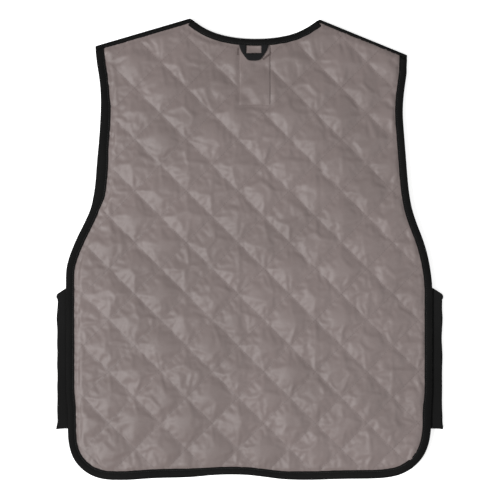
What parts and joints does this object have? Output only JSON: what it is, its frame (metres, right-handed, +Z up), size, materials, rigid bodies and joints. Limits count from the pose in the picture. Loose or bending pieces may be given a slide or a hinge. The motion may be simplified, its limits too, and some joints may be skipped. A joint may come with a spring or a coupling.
{
  "type": "cooling vest",
  "caption": "Sleeveless quilted cooling vest in taupe cloth with black tape edges and folded elastic side panels, lying flat with its back up.",
  "frame": {"origin": "middle of the vest's box, on the surface that it lies on", "axes": "+Z up out of the back of the vest, +Y from the hem to the neck, +X to the right seen from above"},
  "size_m": [0.5415, 0.647, 0.0219],
  "materials": {
    "quilted_cloth": "satin woven nylon, quilted in diamonds",
    "black_tape": "ribbed polyester tape, matt",
    "black_elastic": "ribbed knitted elastic, matt",
    "black_webbing": "woven webbing, matt",
    "black_zip": "moulded coil on woven tape"
  },
  "bodies": {
    "root": {"back_panel": "quilted_cloth", "front_panel_left": "quilted_cloth", "front_panel_right": "quilted_cloth", "neck_patch": "quilted_cloth", "back_binding": "black_tape", "neck_binding": "black_tape", "front_binding_left": "black_tape", "front_binding_right": "black_tape", "front_neck_binding_left": "black_tape", "front_neck_binding_right": "black_tape", "shoulder_tape_left": "black_tape", "shoulder_tape_right": "black_tape", "side_panel_left": "black_elastic", "side_panel_right": "black_elastic", "hang_loop": "black_webbing", "front_zip": "black_zip"}
  },
  "joints": []
}
